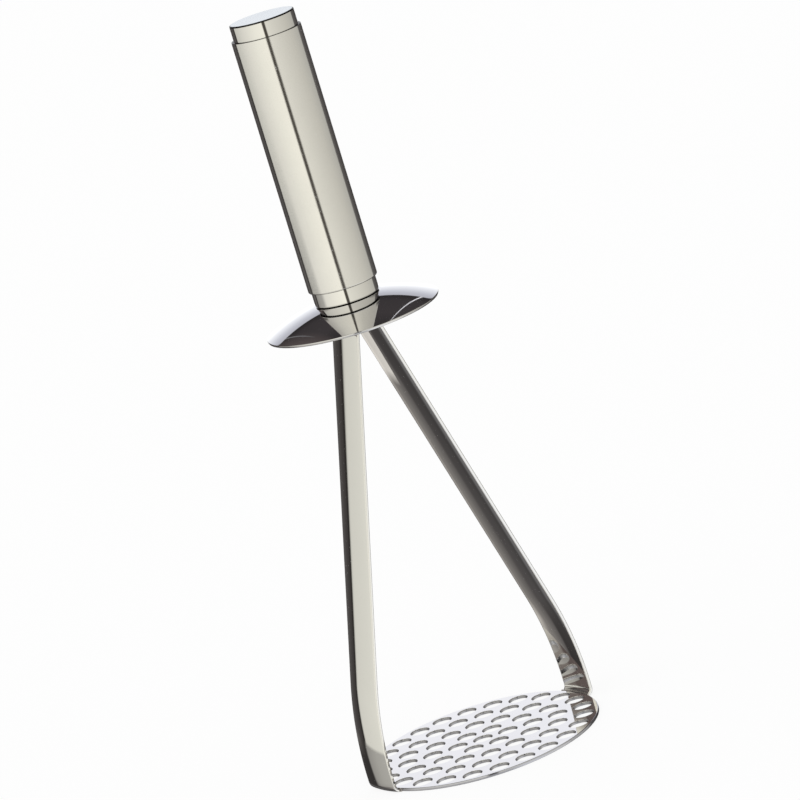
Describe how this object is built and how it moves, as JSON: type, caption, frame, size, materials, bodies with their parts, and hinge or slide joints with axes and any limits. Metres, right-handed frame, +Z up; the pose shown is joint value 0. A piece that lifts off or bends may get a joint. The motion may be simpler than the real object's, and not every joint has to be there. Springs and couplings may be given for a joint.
{
  "type": "potato masher",
  "caption": "One-hand potato masher in stainless steel: tubular handle, domed hand guard, two bowed legs and a round perforated mashing plate.",
  "frame": {"origin": "middle of the mashing plate's underside, where the tool stands", "axes": "+Z up the handle, +X through the right leg's foot, so both legs lie in the XZ plane"},
  "size_m": [0.0928, 0.087, 0.2761],
  "materials": {
    "polished_steel": "mirror polished stainless steel",
    "satin_steel": "satin brushed stainless steel",
    "plain_steel": "as machined"
  },
  "bodies": {
    "root": {"mashing_plate": "polished_steel", "right_leg": "polished_steel", "left_leg": "polished_steel", "foot_welds": "polished_steel", "leg_hub": "plain_steel", "hub_welds": "plain_steel", "joint_stud": "plain_steel", "guard_dome": "polished_steel", "collar_plug": "satin_steel", "handle_tube": "satin_steel", "end_cap": "satin_steel"}
  },
  "joints": []
}
